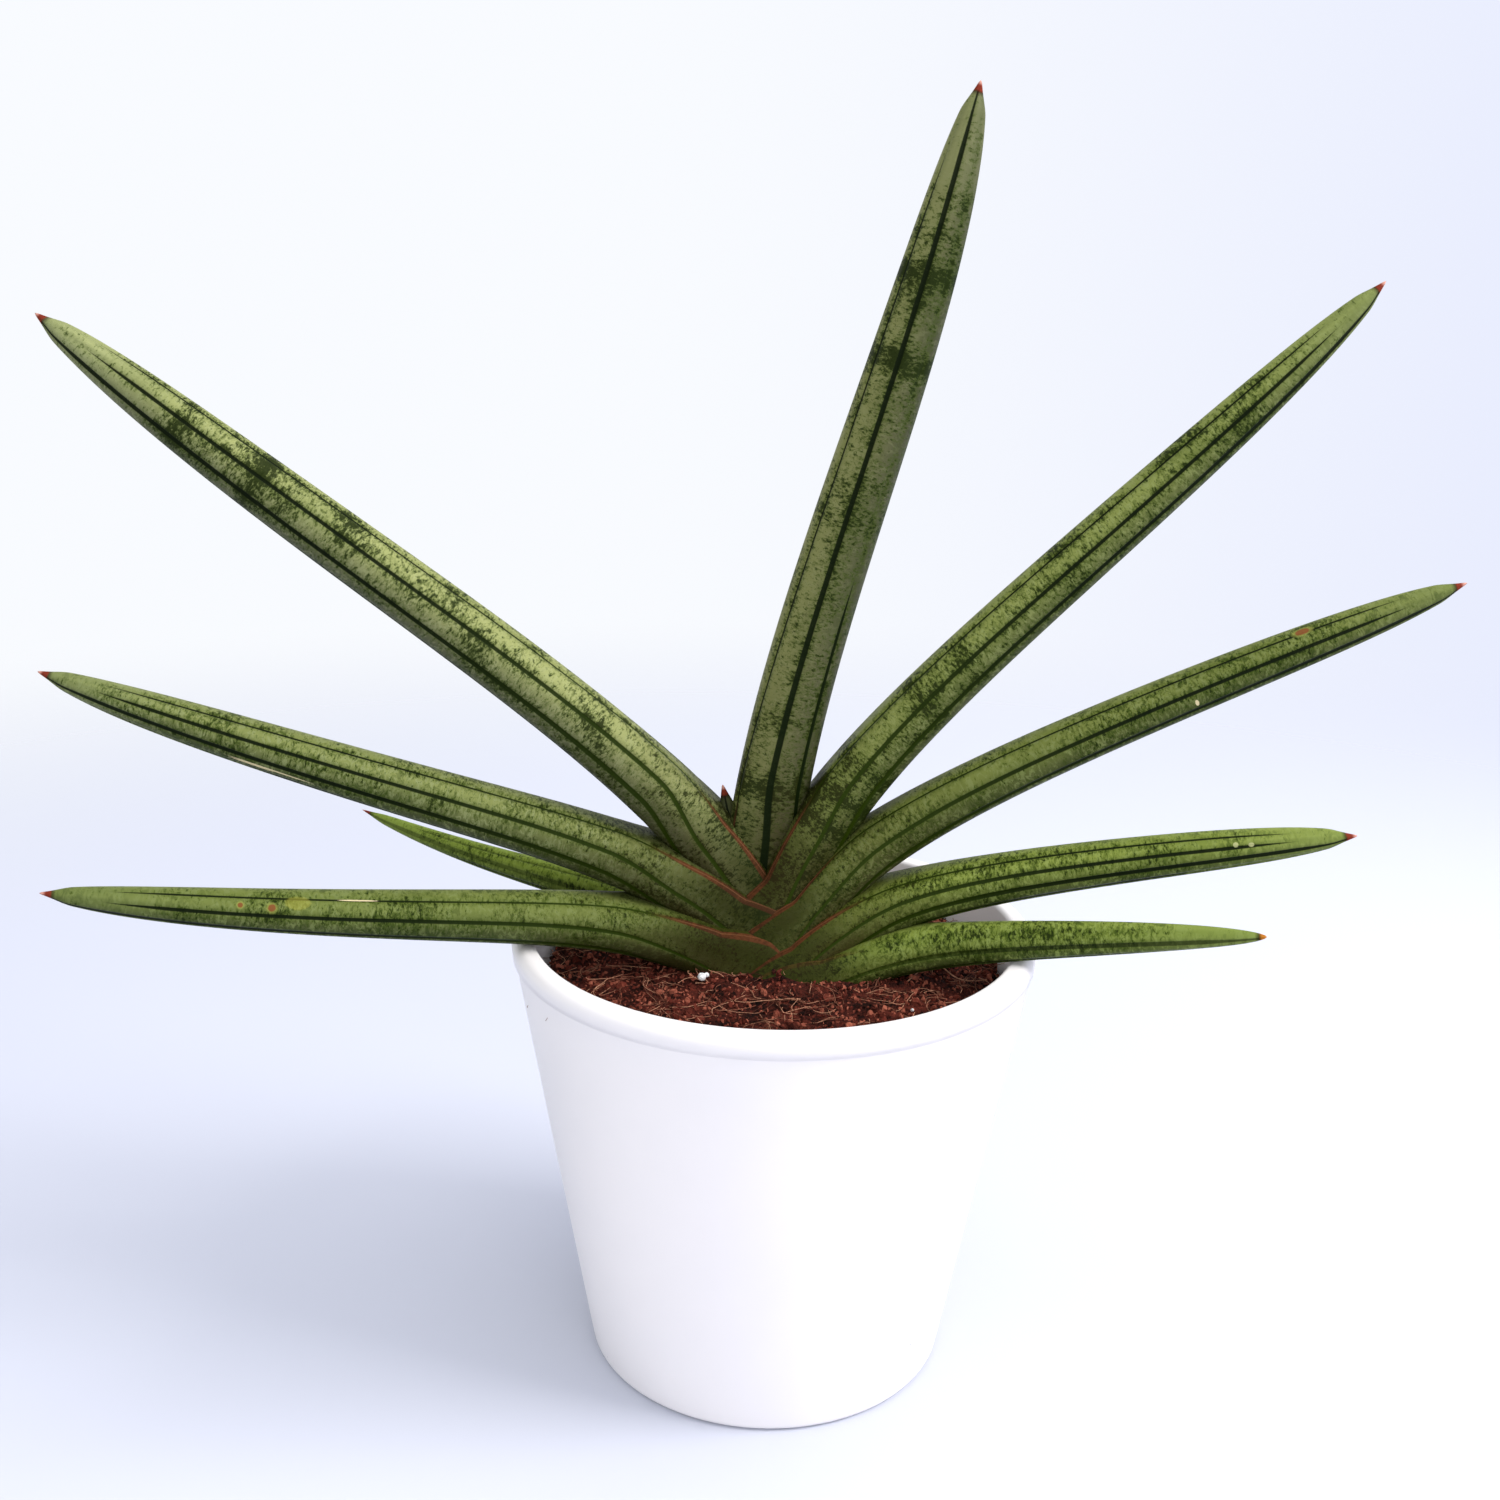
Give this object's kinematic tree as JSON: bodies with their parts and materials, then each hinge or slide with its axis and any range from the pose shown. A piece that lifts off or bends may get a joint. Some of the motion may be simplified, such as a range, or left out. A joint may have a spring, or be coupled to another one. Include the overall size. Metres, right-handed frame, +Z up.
{
  "type": "potted snake plant",
  "caption": "Cylindrical-leaved snake plant: tapering leaves in a flat fan on a short crown, in coir mix, in a tapered white pot with a thick rim.",
  "frame": {"origin": "on the pot's axis, at its flat underside", "axes": "+Z up along the pot's axis, +X along the fan of leaves, -Y towards the side that the fan shows"},
  "size_m": [0.3774, 0.15, 0.3582],
  "materials": {
    "pot": "satin",
    "potting_mix": "rough loose coir",
    "leaf": "waxy satin",
    "rhizome": "matte"
  },
  "bodies": {
    "root": {"pot": "pot", "potting_mix": "potting_mix", "rhizome": "rhizome", "leaf_spike": "leaf", "leaf_centre": "leaf", "leaf_left_1": "leaf", "leaf_left_2": "leaf", "leaf_left_3": "leaf", "leaf_left_4": "leaf", "leaf_right_1": "leaf", "leaf_right_2": "leaf", "leaf_right_3": "leaf", "leaf_right_4": "leaf"}
  },
  "joints": []
}
